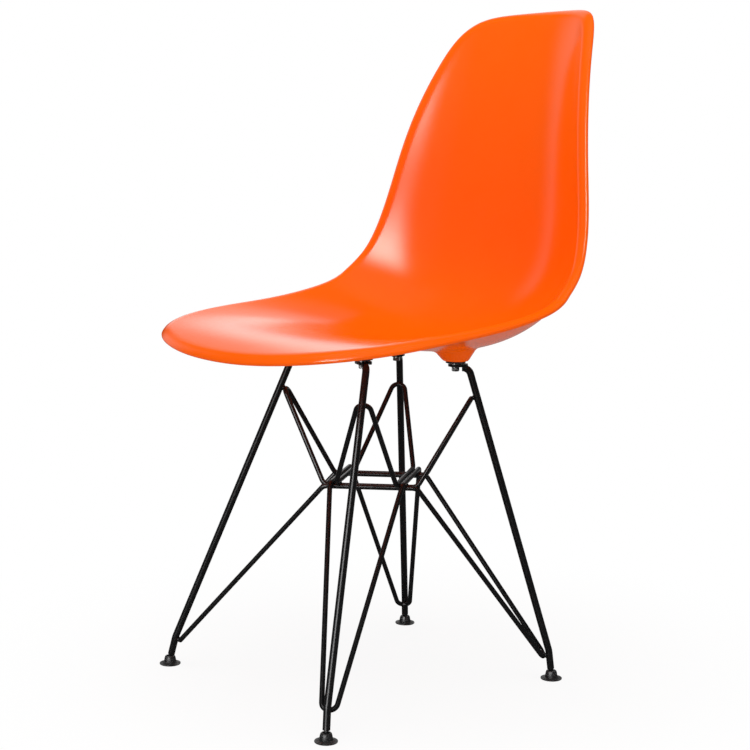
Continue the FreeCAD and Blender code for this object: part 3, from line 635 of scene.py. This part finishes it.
# Each patch that the gloss mirrors: its middle's turn from +X and rise above level in degrees, half the
# width of its even part and the fade beyond that, the same for its height, and its strength. Widths and
# heights are sines of the angle from the middle.
FILL = 0.82
MIRRORED = [
    (-65, 24, 0.18, 0.14, 0.05, 0.52, 15),
    (-90, 20, 0.04, 0.14, 0.40, 0.25, 0.15),
    (148, 11, 0.03, 0.30, 0.02, 0.10, 0.9),
    (146, 18, 0.03, 0.30, 0.03, 0.26, 0.55),
    (158, 32, 0.12, 0.18, 0.06, 0.20, 0.4),
    (132, 24, 0.10, 0.20, 0.30, 0.25, 0.2),
    (-176, 7, 0.08, 0.26, 0.14, 0.30, 0.5),
]
sky = Finish("studio", bpy.data.worlds)
look = sky.node("ShaderNodeTexCoord", output="Generated")


def part_of(direction):
    return sky.node("ShaderNodeVectorMath", {"operation": "DOT_PRODUCT"}, {0: look, 1: direction}, "Value")


def fading(value, reach, soft):
    """1 where the value is within reach of 0, falling smoothly to 0 over soft."""
    away = sky.node("ShaderNodeMath", {"operation": "ABSOLUTE"}, {0: value})
    fade = {"From Min": reach, "From Max": reach + soft, "To Min": 1.0, "To Max": 0.0}
    return sky.node("ShaderNodeMapRange", {"interpolation_type": "SMOOTHSTEP"}, {"Value": away, **fade})


mirrored = 0.0
for turn, rise, wide, wide_soft, tall, tall_soft, strength in MIRRORED:
    aim = Vector((1, 0, 0))
    aim.rotate(Matrix.Rotation(math.radians(-rise), 3, "Y"))
    aim.rotate(Matrix.Rotation(math.radians(turn), 3, "Z"))
    level = Vector((-aim.y, aim.x, 0)).normalized()
    ahead = sky.node("ShaderNodeMath", {"operation": "GREATER_THAN"}, {0: part_of(aim), 1: 0.0})
    patch = fading(part_of(level), wide, wide_soft) * fading(part_of(aim.cross(level)), tall, tall_soft)
    mirrored = patch * ahead * strength + mirrored
seen = sky.node("ShaderNodeLightPath", output="Is Camera Ray")
gleam = sky.node("ShaderNodeLightPath", output="Is Glossy Ray")
fill = sky.node("ShaderNodeBackground", {}, {"Color": WHITE, "Strength": FILL})
gloss = sky.node("ShaderNodeBackground", {}, {"Color": WHITE, "Strength": mirrored})
plain = sky.node("ShaderNodeBackground", {}, {"Color": WHITE, "Strength": 1.0})
unseen = sky.node("ShaderNodeMixShader", {}, {0: gleam, 1: fill, 2: gloss})
sky.node_output(sky.node("ShaderNodeMixShader", {}, {0: seen, 1: unseen, 2: plain}), "ShaderNodeOutputWorld")
bpy.context.scene.world = sky.material

# A broad lamp overhead, which only the matt side of each finish sees.
LAMP_WIDTH = 2.4
LAMP_WATTS = 40
LAMP_SPOT = (0.2, -0.6, 2.8)
LAMP_TILT = (math.radians(-14), math.radians(4), 0)
lamp_data = bpy.data.lights.new("overhead_softbox", "AREA")
lamp_data.size = LAMP_WIDTH
lamp_data.energy = LAMP_WATTS
overhead = bpy.data.objects.new("overhead_softbox", lamp_data)
bpy.context.scene.collection.objects.link(overhead)
overhead.location = LAMP_SPOT
overhead.rotation_euler = LAMP_TILT
overhead.visible_glossy = False


# The camera stands off the chair's front left corner, a little above the seat, and leans by under a
# degree. Its focal length is given in pixels of a square picture.
CAMERA_TURN = math.radians(53.128)
CAMERA_RISE = math.radians(7.785)
CAMERA_ROLL = math.radians(0.725)
CAMERA_SPOT = (1.60661, -1.19440, 0.64515)
FOCAL_PIXELS = 1679.08
PICTURE_PIXELS = 750
SENSOR = 36
back = Vector((
    math.sin(CAMERA_TURN) * math.cos(CAMERA_RISE),
    -math.cos(CAMERA_TURN) * math.cos(CAMERA_RISE),
    math.sin(CAMERA_RISE),
))
level = Vector((math.cos(CAMERA_TURN), math.sin(CAMERA_TURN), 0))
upward = back.cross(level)
right = level * math.cos(CAMERA_ROLL) + upward * math.sin(CAMERA_ROLL)
above = upward * math.cos(CAMERA_ROLL) - level * math.sin(CAMERA_ROLL)
camera_data = bpy.data.cameras.new("camera")
camera_data.sensor_width = SENSOR
camera_data.lens = FOCAL_PIXELS * SENSOR / PICTURE_PIXELS
camera = bpy.data.objects.new("camera", camera_data)
bpy.context.scene.collection.objects.link(camera)
turn = Matrix((right, above, back)).transposed().to_4x4()
camera.matrix_world = Matrix.Translation(Vector(CAMERA_SPOT) + Vector((0, feet_y, 0))) @ turn
bpy.context.scene.camera = camera

bpy.context.scene.view_settings.view_transform = "Standard"
